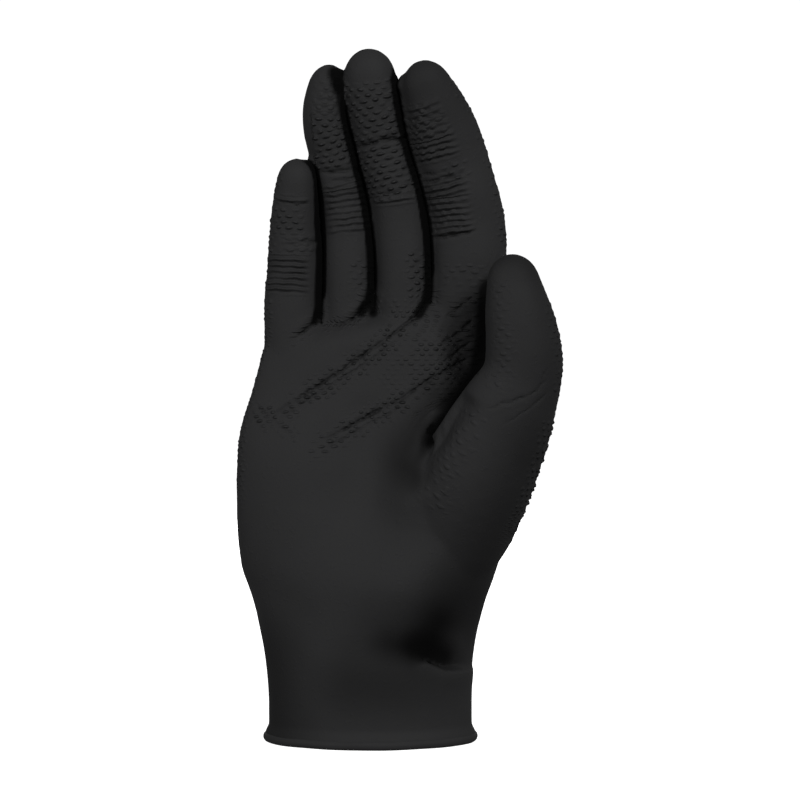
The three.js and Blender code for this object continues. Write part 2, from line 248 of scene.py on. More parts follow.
class GloveFilmSettings(bpy.types.PropertyGroup):
    """Sizes of the dipped film"""

    fineness: FloatProperty(
        name="Fineness", description="Spacing of the film's points", default=0.00092, min=0.0005,
        unit="LENGTH",
    )
    stud_spacing: FloatProperty(
        name="Stud spacing", description="From one grip stud to the next in a row", default=0.004,
        min=0.002, unit="LENGTH",
    )
    stud_height: FloatProperty(
        name="Stud height", description="How far the grip studs stand proud", default=0.00038, min=0.0,
        unit="LENGTH",
    )
    gather_spacing: FloatProperty(
        name="Gather spacing", description="From one small gather of the film to the next on the digits",
        default=0.0021, min=0.001, unit="LENGTH",
    )
    gather_height: FloatProperty(
        name="Gather height", description="How far the small gathers stand proud", default=0.0003, min=0.0,
        unit="LENGTH",
    )
    hollow_depth: FloatProperty(
        name="Wrist hollow",
        description="How far the film sinks where the ball of the thumb meets the cuff", default=0.0045,
        min=0.0, unit="LENGTH",
    )
    thickness: FloatProperty(
        name="Film thickness", description="From the outer skin to the inner one", default=0.0009,
        min=0.0002, unit="LENGTH",
    )


class GloveRimSettings(bpy.types.PropertyGroup):
    """Sizes of the rolled rim"""

    radius: FloatProperty(
        name="Roll radius", description="Radius of the rolled bead round the cuff", default=0.0017,
        min=0.0005, unit="LENGTH",
    )
    width: FloatProperty(
        name="Rim width", description="From side to side, at the middle of the bead", default=0.0718,
        unit="LENGTH",
    )
    depth: FloatProperty(
        name="Rim depth", description="From front to back, at the middle of the bead", default=0.0488,
        unit="LENGTH",
    )


class GloveFinishSettings(bpy.types.PropertyGroup):
    """Colours and gloss of the film"""

    film_colour: FloatVectorProperty(
        name="Film colour", description="Colour of the nitrile", subtype="COLOR", size=3,
        default=(0.0250, 0.0250, 0.0256), min=0.0, max=1.0,
    )
    scuffed_colour: FloatVectorProperty(
        name="Scuffed colour", description="Colour of the nitrile where it is stretched or rubbed",
        subtype="COLOR", size=3, default=(0.036, 0.036, 0.037), min=0.0, max=1.0,
    )
    # The colour of the painted shade, deep between the fingers, in hollows and along the folds.
    painted_shade_colour: FloatVectorProperty(
        name="Painted shade colour",
        description="Colour painted as shade deep between the fingers and in the folds",
        subtype="COLOR", size=3, default=(0.0006, 0.0006, 0.0006), min=0.0, max=1.0,
    )
    roughness: FloatProperty(
        name="Roughness", description="Roughness of the satin film", default=0.7, min=0.0, max=1.0,
        subtype="FACTOR",
    )


class GloveStageSettings(bpy.types.PropertyGroup):
    """Floor, light and camera"""

    floor_colour: FloatVectorProperty(
        name="Floor colour", description="Colour of the plain floor", subtype="COLOR", size=3,
        default=(0.92, 0.92, 0.92), min=0.0, max=1.0,
    )
    distance: FloatProperty(
        name="Camera distance", description="From the camera to the middle plane of the glove", default=0.8,
        min=0.3, unit="LENGTH",
    )
    key_power: FloatProperty(
        name="Key light", description="Power of the soft light above and to the right", default=8.7,
        min=0.0, unit="POWER",
    )


def smooth_step(low, high, value):
    """From 0 at low to 1 at high. Low may be the greater of the two."""
    share = np.clip((value - low) / (high - low), 0.0, 1.0)
    return share * share * (3.0 - 2.0 * share)


def window(value, low, high, fade):
    """1 between low and high, and fading to 0 on both sides."""
    return smooth_step(low - fade, low + fade, value) * (1.0 - smooth_step(high - fade, high + fade, value))


def bell(distance, width):
    """1 at no distance, and next to nothing at twice the width."""
    return np.exp(-((distance / width) ** 2))


def web_height(x):
    """Height of the fingers' roots at a place across the palm, in millimetres."""
    return 150 + 0.2 * x


def mesh_points(mesh):
    """The places of the mesh's points, one row each."""
    points = np.empty(len(mesh.vertices) * 3)
    mesh.vertices.foreach_get("co", points)
    return points.reshape(-1, 3)


def mesh_normals(mesh):
    """The directions that the mesh's points face, one row each."""
    normals = np.empty(len(mesh.vertices) * 3)
    mesh.vertices.foreach_get("normal", normals)
    return normals.reshape(-1, 3)


def set_points(mesh, points):
    """Moves the mesh's points to new places."""
    mesh.vertices.foreach_set("co", np.ascontiguousarray(points, dtype=np.float32).ravel())
    mesh.update()


def applied(mesh, name, modifiers):
    """A copy of the mesh with the modifiers applied: (type, {setting: value}) in order."""
    helper = bpy.data.objects.new(name, mesh)
    bpy.context.scene.collection.objects.link(helper)
    for kind, values in modifiers:
        modifier = helper.modifiers.new(kind.title(), kind)
        for key, value in values.items():
            setattr(modifier, key, value)
    graph = bpy.context.evaluated_depsgraph_get()
    result = bpy.data.meshes.new_from_object(helper.evaluated_get(graph))
    bpy.data.objects.remove(helper)
    return result


def made_mesh(bm, name):
    """A new mesh of what the bmesh holds, which is freed."""
    mesh = bpy.data.meshes.new(name)
    bm.to_mesh(mesh)
    bm.free()
    return mesh


def open_edges(bm):
    """The edges with a face on one side only."""
    return [e for e in bm.edges if e.is_boundary]


def cut_straight(bm, height):
    """Cuts away what lies below a height."""
    everything = list(bm.verts) + list(bm.edges) + list(bm.faces)
    bmesh.ops.bisect_plane(
        bm, geom=everything, dist=0.001 * MM, plane_co=(0, 0, height), plane_no=(0, 0, 1), clear_inner=True
    )


def outer_skin():
    """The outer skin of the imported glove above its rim, run straight down and closed."""
    bm = bmesh.new()
    bm.from_mesh(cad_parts["glove"].data)
    bmesh.ops.remove_doubles(bm, verts=bm.verts, dist=MERGE_DISTANCE)
    cut_straight(bm, RIM_CUT)
    # The widest point is on the outer skin, and so is all that it is joined to.
    widest = max(bm.verts, key=lambda v: v.co.x)
    seen = {widest}
    front = [widest]
    while front:
        vert = front.pop()
        for edge in vert.link_edges:
            other = edge.other_vert(vert)
            if other not in seen:
                seen.add(other)
                front.append(other)
    bmesh.ops.delete(bm, geom=[v for v in bm.verts if v not in seen], context="VERTS")
    grown = bmesh.ops.extrude_edge_only(bm, edges=open_edges(bm))["geom"]
    lowered = [g for g in grown if isinstance(g, bmesh.types.BMVert)]
    bmesh.ops.translate(bm, verts=lowered, vec=(0, 0, -RUN_DOWN))
    bmesh.ops.edgeloop_fill(bm, edges=open_edges(bm))
    bmesh.ops.triangulate(bm, faces=[f for f in bm.faces if len(f.verts) > 4])
    bmesh.ops.recalc_face_normals(bm, faces=bm.faces)
    return made_mesh(bm, "outer_skin")


def centre_line(rows, heights):
    """A digit's middle across and in depth, and its half width and half depth, at given heights."""
    table = np.array(rows)
    return [np.interp(heights, table[:, 2], table[:, k]) for k in (0, 1, 3, 4)]


def digit_frames(points):
    """Each point's place on every digit: to its side and front as shares of its section, how far that is from
    its centre line, and the way along and across its surface in millimetres."""
    found = {}
    x, y, z = (points / MM).T
    for name, rows in DIGITS.items():
        height = z.copy()
        # The digits lean, so each pass comes nearer to the point's own section.
        for _ in range(3):
            cx, cy, half_width, half_depth = centre_line(rows, height)
            ahead = centre_line(rows, height + 1.0)
            lean_x = ahead[0] - cx
            lean_y = ahead[1] - cy
            length = np.sqrt(lean_x**2 + lean_y**2 + 1.0)
            slip = ((x - cx) * lean_x + (y - cy) * lean_y + (z - height)) / length**2
            height = np.clip(height + slip, rows[0][2], rows[-1][2])
        side = (x - cx) / half_width
        front = -(y - cy) / half_depth
        radius = (half_width + half_depth) / 2
        across = rows[0][0] + np.arctan2(side, front) * radius
        reach = np.hypot(side, front)
        found[name] = {"side": side, "front": front, "reach": reach, "along": height, "across": across}
    return found


def digit_shares(points, frames):
    """How much each point belongs to each digit, from 0 to 1."""
    x, _, z = (points / MM).T
    shares = {}
    fingers = [name for name in frames if name != "thumb"]
    nearest = np.argmin(np.stack([frames[name]["reach"] for name in fingers]), axis=0)
    above = smooth_step(-4, 8, z - web_height(x))
    thumb = (1 - smooth_step(1.12, 1.4, frames["thumb"]["reach"])) * smooth_step(*THUMB_START, z)
    for i, name in enumerate(fingers):
        shares[name] = above * (nearest == i) * (1 - thumb)
    shares["thumb"] = thumb
    return shares


def distance_to_route(x, z, route):
    """Distance to a broken line, and how far along it the nearest place is, from 0 to 1."""
    best = np.full(len(x), np.inf)
    where = np.zeros(len(x))
    lengths = [math.dist(a, b) for a, b in zip(route, route[1:])]
    total = sum(lengths)
    start = 0.0
    for (ax, az), (bx, bz), length in zip(route, route[1:], lengths):
        t = np.clip(((x - ax) * (bx - ax) + (z - az) * (bz - az)) / length**2, 0, 1)
        gap = np.hypot(x - ax - t * (bx - ax), z - az - t * (bz - az))
        nearer = gap < best
        best = np.where(nearer, gap, best)
        where = np.where(nearer, (start + t * length) / total, where)
        start += length
    return best, where


def fine_noise(points, scale, seed):
    """Smooth noise from -1 to 1, at a scale in millimetres. Each seed gives its own pattern."""
    shift = Vector((seed * 7.3, seed * 3.1, seed * 5.7))
    step = 1 / (scale * MM)
    return np.array([noise.noise(Vector(p) * step + shift) for p in points])


def fold_lines(points, normals, frames, shares):
    """Each fold and crease as (distance to it in millimetres, its fade, half width, depth) at every point."""
    x, _, z = (points / MM).T
    uneven = fine_noise(points, 4, 1)
    broken = np.clip(0.8 + 1.0 * fine_noise(points, 3, 8), 0.2, 1.3)
    front = smooth_step(0.05, 0.5, -normals[:, 1]) * broken
    body = np.clip(1.7 - np.clip(sum(shares.values()), 0, 1), 0, 1)
    for _, half_width, depth, _, route in FOLDS:
        gap, where = distance_to_route(x, z, route)
        # A fold starts sharply and runs out slowly.
        fade = smooth_step(0, 0.12, where) * (1 - smooth_step(0.75, 1.0, where))
        yield gap + 0.4 * uneven, fade * front * body, half_width, depth
    for name, left, right, sag, begin, end, half_width, depth in JOINTS:
        f = frames[name]
        side = np.clip(f["side"], -1.2, 1.2)
        level = left + (right - left) * (side + 1) / 2 - sag * (1 - side**2)
        fade = shares[name] * broken * smooth_step(-0.1, 0.6, f["front"]) * window(f["side"], begin, end, 0.15)
        yield f["along"] - level + 1.0 * uneven, fade, half_width, depth


def fold_fields(points, normals, frames, shares):
    """The nearest fold at every point, for the material: the distance to it and its strength."""
    nearest = np.full(len(points), FAR_FROM_FOLDS)
    strength = np.zeros(len(points))
    strongest = np.zeros(len(points))
    for gap, fade, _, depth in fold_lines(points, normals, frames, shares):
        weight = fade * depth * bell(gap, 1.5)
        stronger = weight > strongest
        nearest = np.where(stronger, np.abs(gap), nearest)
        strength = np.where(stronger, fade * depth, strength)
        strongest = np.maximum(weight, strongest)
    return nearest, strength


def sculpted(points, normals, frames, shares, settings):
    """The broad moves of the film: the wrist's hollow and shelf, the folds, and the joints' creases."""
    x, _, z = (points / MM).T
    facing = -normals[:, 1]
    front = smooth_step(0.0, 0.4, facing)
    move = np.zeros(len(points))
    # The hollow above the cuff, with the lower edge over which the film passes on to the cuff.
    rise = z - np.interp(x, *SHELF)
    softer = smooth_step(*SHELF_SOFTENS, x)
    above_edge = smooth_step(-0.3 - 6.0 * softer, 1.3 + 2.0 * softer, rise)
    hollow = bell(x - 25, 9.0) * bell(np.maximum(rise, 0), 14)
    move -= settings.hollow_depth / MM * hollow * above_edge * smooth_step(-0.1, 0.3, facing)
    shelf = bell(x - 27, 9) * bell(rise + 1.5, 4.0)
    move += SHELF_HEIGHT * shelf * (1 - above_edge) * smooth_step(-0.3, 0.2, facing)
    for gap, fade, half_width, depth in fold_lines(points, normals, frames, shares):
        line = -depth * bell(gap, half_width)
        swell = 0.3 * depth * bell(np.abs(gap) - 2.2 * half_width, 1.2 * half_width)
        move += (line + swell) * fade
    depth, half_width, route = VALLEY
    gap, where = distance_to_route(x, z, route)
    valley = bell(gap, half_width) * smooth_step(0.0, 0.15, where) * (1 - smooth_step(0.6, 1.0, where))
    move -= depth * valley * front
    depth, half_width, route = BESIDE_VALLEY
    gap, _ = distance_to_route(x, z, route)
    move -= depth * bell(gap, half_width) * front
    # The cuff flares a little to meet the rolled rim.
    move += 1.3 * smooth_step(6.5, 2.4, z)
    # Slow unevenness all over, in two scales.
    move += 0.22 * fine_noise(points, 24, 2) + 0.1 * fine_noise(points, 9, 1)
    return points + normals * (move * MM)[:, None]


def round_palm(x, y, z):
    """The way round the body's section from the middle of the palm, in millimetres."""
    middle = np.interp(z, *PALM_MIDDLE)
    half_width = np.interp(z, *PALM_HALF_WIDTH)
    half_depth = np.interp(z, *PALM_HALF_DEPTH)
    turn = np.arctan2((x - middle) / half_width, -y / half_depth)
    # Arc length of an ellipse with the palm's usual flatness, by the turn from its front.
    angles = np.linspace(-math.pi, math.pi, 361)
    pace = np.hypot(np.cos(angles), 0.38 * np.sin(angles))
    arc = np.concatenate([[0], np.cumsum((pace[1:] + pace[:-1]) / 2 * np.diff(angles))])
    arc -= arc[180]
    return middle + half_width * np.interp(turn, angles, arc)


def grip_field(points, normals, frames, shares):
    """The grip: where the studs and gathers are, and the pattern's places across and along the film."""
    x, y, z = (points / MM).T
    studs = np.zeros(len(points))
    ridges = np.zeros(len(points))
    for name, low, high, left, right, stud, ridge in GRIP:
        f = frames[name]
        facing = smooth_step(-0.75, -0.2, f["front"])
        inside = window(f["along"], low, high, 1.2) * window(f["side"], left, right, 0.22)
        inside = inside * shares[name] * facing
        studs = np.maximum(studs, stud * inside)
        ridges = np.maximum(ridges, ridge * inside)
    body = 1 - np.clip(sum(shares.values()), 0, 1)
    front = smooth_step(0.0, 0.5, -normals[:, 1])
    for _, _, depth, reach, route in FOLDS:
        gap, _ = distance_to_route(x, z, route)
        inside = (1 - smooth_step(0.3 * reach, 0.9 * reach, gap)) * front * body
        studs = np.maximum(studs, 0.9 * inside * min(1, depth / 0.4))
    palm = window(x, 6, 36, 5) * window(z, 124, 156, 5) * front * body
    studs = np.maximum(studs, 0.5 * palm)
    studs *= 1 - 0.8 * body * smooth_step(0.1, -0.4, fine_noise(points, 3.4, 9))
    outer_edge = smooth_step(0.55, 0.85, -normals[:, 0]) * window(z, 88, 160, 8) * body
    studs = np.maximum(studs, 0.8 * outer_edge)
    # On the body the pattern is closer set, about a place that keeps its studs in step with the folds.
    closer, (start, level) = 1.2, (12, 150)
    across = body * (start + closer * (round_palm(x, y, z) - start))
    along = body * (level + closer * (z - level))
    for name, f in frames.items():
        across += shares[name] * f["across"]
        along += shares[name] * f["along"]
    return studs, ridges, across, along


def grip_height(studs, ridges, across, along, settings):
    """Height of the grip in metres at places across and along the film."""
    spacing = settings.stud_spacing / MM
    row = math.tau * along / spacing
    lattice = 0.62 * np.cos(math.tau * across / spacing) * np.cos(row) + 0.38 * np.cos(2 * row)
    stud = smooth_step(-0.25, 1.0, lattice)
    gather = settings.gather_spacing / MM
    wave = 0.5 + 0.5 * np.sin(math.tau * along / gather)
    return settings.stud_height * studs * stud + settings.gather_height * ridges * wave


def spread(mesh, values, rounds):
    """Evens out a value over the neighbouring points of a mesh."""
    edges = np.empty(len(mesh.edges) * 2, np.int64)
    mesh.edges.foreach_get("vertices", edges)
    first, second = edges.reshape(-1, 2).T
    links = np.bincount(first, minlength=len(values)) + np.bincount(second, minlength=len(values))
    for _ in range(rounds):
        total = np.bincount(first, values[second], len(values))
        total += np.bincount(second, values[first], len(values))
        values = 0.5 * values + 0.5 * total / np.maximum(links, 1)
    return values


def search_tree(mesh):
    """A tree of the mesh's faces, for casting rays at them."""
    bm = bmesh.new()
    bm.from_mesh(mesh)
    tree = BVHTree.FromBMesh(bm)
    bm.free()
    return tree


def close_gaps(mesh):
    """Draws the fingers together along their backs, so that no light shows between them."""
    points = mesh_points(mesh)
    normals = mesh_normals(mesh)
    frames = digit_frames(points)
    shares = digit_shares(points, frames)
    x, _, z = (points / MM).T
    behind = sum(shares[name] * smooth_step(0.35, -0.15, frames[name]["front"]) for name in frames)
    behind = np.maximum(behind, smooth_step(10.0, 6.0, z - web_height(x)))
    tree = search_tree(mesh)
    # In metres: the widest gap that is closed, the widest that is closed fully, how far the two sides then
    # overlap, and how far off the skin a ray starts.
    widest, full, overlap, off_skin = 4.5 * MM, 3 * MM, 0.08 * MM, 0.03 * MM
    facing_sideways = np.nonzero((np.abs(normals[:, 0]) > 0.5) & (z > 146))[0]
    moves = np.zeros(len(points))
    for i in facing_sideways:
        start = Vector(points[i]) + Vector(normals[i]) * off_skin
        _, _, _, gap = tree.ray_cast(start, Vector(normals[i]), widest)
        if gap is not None:
            ease = 1 - max(0.0, (gap - full) / (widest - full))
            moves[i] = (gap / 2 + overlap) * ease
    moves = spread(mesh, moves * behind, 5)
    set_points(mesh, points + normals * moves[:, None])


def painted_shade(mesh):
    """How closed in the film is at each point, from 0 in the open to 1 deep between two fingers, as the
    strength of the painted shade there.
    """
    points = mesh_points(mesh)
    normals = mesh_normals(mesh)
    tree = search_tree(mesh)
    # In metres: how far a ray looks for another side of the film, and how far off the skin it starts.
    far, off_skin = 22 * MM, 0.2 * MM
    # The rays fan out evenly from the normal almost down to the skin, each turned by the golden angle.
    ways = 10
    steps = (np.arange(ways) + 0.5) / ways
    lifts = np.sqrt(1 - steps * 0.85)
    turns = np.arange(ways) * math.pi * (3 - math.sqrt(5))
    side = np.cross(normals, [0.0, 0.0, 1.0]) + [1e-6, 0, 0]
    side /= np.linalg.norm(side, axis=1)[:, None]
    up = np.cross(side, normals)
    shade_amount = np.zeros(len(points))
    starts = points + normals * off_skin
    not_at_back = np.nonzero(normals[:, 1] < 0.7)[0]
    for lift, turn in zip(lifts, turns):
        flat = math.sqrt(1 - lift * lift)
        rays = normals * lift + side * (flat * math.cos(turn)) + up * (flat * math.sin(turn))
        for i in not_at_back:
            gap = tree.ray_cast(Vector(starts[i]), Vector(rays[i]), far)[3]
            if gap is not None:
                shade_amount[i] += 1 - gap / far
    return spread(mesh, shade_amount / ways, 2)


def painted_shade_places(points, normals, frames, shares):
    """Painted shade and painted shadows of the palm side, from 0 to 1."""
    x, y, z = (points / MM).T
    front = smooth_step(-0.2, 0.3, -normals[:, 1])
    # The thumb stands in front of the palm, and its own film isn't darkened by the places beside it.
    on_thumb = smooth_step(-1.22, -1.05, frames["thumb"]["side"]) * smooth_step(*THUMB_START, z)
    beside = 1 - on_thumb * smooth_step(0.0, -3.0, y + 12.5 + 0.5 * np.maximum(115 - z, 0))
    softer = smooth_step(*SHELF_SOFTENS, x)
    edge = smooth_step(-0.4 - 9.0 * softer, 1.0 + 2.0 * softer, z - np.interp(x, *SHELF))
    unshaded_share = np.ones(len(points))
    limits = {"body": beside, "hollow": edge, "cuff": 1.0}
    for _, on, reach, softness, strength, route in PAINTED_SHADE_ROUTES:
        gap, _ = distance_to_route(x, z, route)
        place = strength * (1 - smooth_step(reach * (1 - softness), reach * (1 + softness / 2), gap)) * front
        unshaded_share *= 1 - place * (limits[on] if on in limits else shares[on])
    return 1 - unshaded_share


def smooth_skin(settings):
    """The outer skin as smooth film with its broad forms, and the digits' frames and shares at its points."""
    base = outer_skin()
    set_points(base, mesh_points(base) - mesh_normals(base) * SHRINK * MM)
    evened = [
        ("SUBSURF", {"levels": 1, "render_levels": 1}),
        ("REMESH", {"mode": "VOXEL", "voxel_size": settings.fineness, "adaptivity": 0.0}),
        ("SMOOTH", {"factor": 0.5, "iterations": 9}),
    ]
    skin = applied(base, "film_remesh", evened)
    set_points(skin, mesh_points(skin) + mesh_normals(skin) * SWELL * MM)
    for _ in range(2):
        close_gaps(skin)
    points = mesh_points(skin)
    frames = digit_frames(points)
    shares = digit_shares(points, frames)
    set_points(skin, sculpted(points, mesh_normals(skin), frames, shares, settings))
    return skin, frames, shares


def add_grip(skin, frames, shares, settings):
    """Raises the studs and gathers on the skin, and keeps the fields that its material reads."""
    points = mesh_points(skin)
    normals = mesh_normals(skin)
    studs, ridges, across, along = grip_field(points, normals, frames, shares)
    # The grip is uneven in its strength and in its rows, as it is on stretched film.
    studs = studs * np.clip(0.7 + 1.3 * fine_noise(points, 3.2, 4), 0.1, 1.1)
    ridges = ridges * np.clip(0.8 + 0.8 * fine_noise(points, 6, 5), 0.15, 1)
    along = along + 0.5 * fine_noise(points, 5, 3) + 0.2 * fine_noise(points, 1.8, 7)
    across = across + 0.8 * fine_noise(points, 4.5, 6)
    # Painted shade begins at this limit of closeness, which is lower where the film faces right, to paint
    # there
    #     # the shadow that each finger's right-hand neighbour casts on it.
    limit = 0.26 - 0.16 * normals[:, 0]
    painted_crevice_shade = smooth_step(limit, limit + 0.09, painted_shade(skin))
    painted_crevice_shade = np.maximum(painted_crevice_shade, painted_shade_places(points, normals, frames, shares))
    height = grip_height(studs, ridges, across, along, settings)
    set_points(skin, points + normals * height[:, None])
    fold_gap, fold_depth = fold_fields(points, normals, frames, shares)
    fields = {
        "studs": studs,
        "gathers": ridges,
        "across": across * MM,
        "along": along * MM,
        "painted_shade": painted_crevice_shade,
        "fold_gap": fold_gap * MM,
        "fold_depth": fold_depth,
    }
    for label, values in fields.items():
        attribute = skin.attributes.new(label, "FLOAT", "POINT")
        attribute.data.foreach_set("value", values.astype(np.float32))


def film_mesh(settings):
    """The whole film: a textured outer skin and a plain inner one, joined inside the rolled rim."""
    skin, frames, shares = smooth_skin(settings)
    inner = applied(skin.copy(), "inner_skin", [("DECIMATE", {"ratio": 0.1})])
    set_points(inner, mesh_points(inner) - mesh_normals(inner) * settings.thickness)
    inner.flip_normals()
    add_grip(skin, frames, shares, settings)
    bm = bmesh.new()
    bm.from_mesh(skin)
    cut_straight(bm, FILM_END)
    bm.from_mesh(inner)
    cut_straight(bm, FILM_END)
    bmesh.ops.bridge_loops(bm, edges=open_edges(bm))
    for face in bm.faces:
        face.smooth = True
    return made_mesh(bm, "glove_film")


def finished(name, mesh, material):
    """A piece of the glove with its material, riding on the glove's only body."""
    if not mesh.polygons:
        raise RuntimeError(f"{name} came out empty")
    piece = bpy.data.objects.new(name, mesh)
    bpy.context.scene.collection.objects.link(piece)
    mesh.materials.clear()
    mesh.materials.append(material)
    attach(piece, "root")
    return piece


def new_group(name, inputs, outputs):
    """An empty shader group with float or colour sockets: (name, kind, default)."""
    group = bpy.data.node_groups.new(name, "ShaderNodeTree")
    for label, kind, default in inputs:
        socket = group.interface.new_socket(label, in_out="INPUT", socket_type=kind)
        socket.default_value = default
    for label, kind in outputs:
        group.interface.new_socket(label, in_out="OUTPUT", socket_type=kind)
    return group, group.nodes.new("NodeGroupInput"), group.nodes.new("NodeGroupOutput")


def add_node(tree, kind, values=None, links=None):
    """A node with its properties or plain socket values set, and its inputs linked."""
    node = tree.nodes.new(kind)
    for key, value in (values or {}).items():
        if isinstance(key, str) and hasattr(node, key):
            setattr(node, key, value)
        else:
            node.inputs[key].default_value = value
    for key, socket in (links or {}).items():
        tree.links.new(socket, node.inputs[key])
    return node


def math_node(tree, operation, first, second=None, clamp=False):
    """The result of a Math node on sockets or plain numbers."""
    node = tree.nodes.new("ShaderNodeMath")
    node.operation = operation
    node.use_clamp = clamp
    for i, value in enumerate((first, second)):
        if value is None:
            continue
        if isinstance(value, (int, float)):
            node.inputs[i].default_value = value
        else:
            tree.links.new(value, node.inputs[i])
    return node.outputs[0]


def field_value(tree, label):
    """One of the fields kept on the film's points."""
    return add_node(tree, "ShaderNodeAttribute", {"attribute_name": label}).outputs["Fac"]


def placed_group(tree, group, values=None):
    """A shared effect placed in a material, with its own values."""
    node = tree.nodes.new("ShaderNodeGroup")
    node.node_tree = group
    for label, value in (values or {}).items():
        node.inputs[label].default_value = value
    return node


def mixed_colour(tree, share, first, second):
    """A colour between two others, which are sockets or plain colours."""
    mix = add_node(tree, "ShaderNodeMix", {"data_type": "RGBA"}, {"Factor": share})
    for socket, colour in ((mix.inputs[6], first), (mix.inputs[7], second)):
        if isinstance(colour, bpy.types.NodeSocket):
            tree.links.new(colour, socket)
        else:
            socket.default_value = (*colour, 1)
    return mix.outputs[2]


def spread_roughness(tree, value, low, high):
    """Roughness from low to high over the middle of a noise's range."""
    levels = {"From Min": 0.3, "From Max": 0.7, "To Min": low, "To Max": high}
    return add_node(tree, "ShaderNodeMapRange", levels, {"Value": value}).outputs[0]


def skin_grain_group():
    """The film's fine grain: a height, a mask of its faint mottling, and sparse specks."""
    name = "Film grain"
    if name in bpy.data.node_groups:
        return bpy.data.node_groups[name]
    group, given, out = new_group(
        name,
        [("Grain size", "NodeSocketFloat", 900.0), ("Mottle size", "NodeSocketFloat", 90.0)],
        [("Height", "NodeSocketFloat"), ("Mottle", "NodeSocketFloat"), ("Specks", "NodeSocketFloat")],
    )
    place = group.nodes.new("ShaderNodeTexCoord").outputs["Object"]
    patterns = (("Height", "Grain size", 3.0, 0.6), ("Mottle", "Mottle size", 4.0, 0.55))
    for label, size, detail, rough in patterns:
        values = {"Detail": detail, "Roughness": rough}
        links = {"Vector": place, "Scale": given.outputs[size]}
        noises = add_node(group, "ShaderNodeTexNoise", values, links)
        group.links.new(noises.outputs["Fac"], out.inputs[label])
    spots = add_node(group, "ShaderNodeTexNoise", {"Scale": 620.0, "Detail": 1.0}, {"Vector": place})
    specks = add_node(
        group, "ShaderNodeMapRange", {"From Min": 0.6, "From Max": 0.74}, {"Value": spots.outputs["Fac"]}
    )
    group.links.new(specks.outputs[0], out.inputs["Specks"])
    return group


def grip_group():
    """The grip's raised studs and gathers, sharp, from the film's own across and along fields."""
    group, given, out = new_group(
        "Grip pattern",
        [("Stud spacing", "NodeSocketFloat", 0.004), ("Gather spacing", "NodeSocketFloat", 0.0021)],
        [("Height", "NodeSocketFloat"), ("Raised", "NodeSocketFloat")],
    )
    field = {label: field_value(group, label) for label in ("studs", "gathers", "across", "along")}
    turns = math_node(group, "DIVIDE", math.tau, given.outputs["Stud spacing"])
    level = math_node(group, "MULTIPLY", field["along"], turns)
    first = math_node(group, "COSINE", math_node(group, "MULTIPLY", field["across"], turns))
    second = math_node(group, "COSINE", level)
    lattice = math_node(group, "MULTIPLY", math_node(group, "MULTIPLY", first, second), 0.62)
    doubled = math_node(group, "COSINE", math_node(group, "MULTIPLY", level, 2.0))
    lattice = math_node(group, "ADD", lattice, math_node(group, "MULTIPLY", doubled, 0.38))
    raised = add_node(
        group,
        "ShaderNodeMapRange",
        {"interpolation_type": "SMOOTHSTEP", "From Min": -0.15, "From Max": 1.0},
        {"Value": lattice},
    )
    stud = math_node(group, "MULTIPLY", raised.outputs[0], field["studs"])
    pace = math_node(group, "DIVIDE", math.tau, given.outputs["Gather spacing"])
    row = math_node(group, "MULTIPLY", field["along"], pace)
    wave = math_node(group, "ADD", math_node(group, "MULTIPLY", math_node(group, "SINE", row), 0.5), 0.5)
    gather = math_node(group, "MULTIPLY", wave, field["gathers"])
    height = math_node(group, "ADD", stud, math_node(group, "MULTIPLY", gather, 0.8))
    group.links.new(height, out.inputs["Height"])
    group.links.new(stud, out.inputs["Raised"])
    return group


def fold_group():
    """The sharp line at the bottom of each fold, from the film's own fold fields."""
    group, given, out = new_group(
        "Fold line", [("Half width", "NodeSocketFloat", 0.0005)], [("Line", "NodeSocketFloat")]
    )
    share = math_node(group, "DIVIDE", field_value(group, "fold_gap"), given.outputs["Half width"])
    squared = math_node(group, "MULTIPLY", share, share)
    fall = math_node(group, "EXPONENT", math_node(group, "MULTIPLY", squared, -1.0))
    line = math_node(group, "MULTIPLY", fall, field_value(group, "fold_depth"), clamp=True)
    group.links.new(line, out.inputs["Line"])
    return group


def new_material(name):
    """A material, its node tree and its shader."""
    material = bpy.data.materials.new(name)
    material.use_nodes = True
    return material, material.node_tree, material.node_tree.nodes["Principled BSDF"]


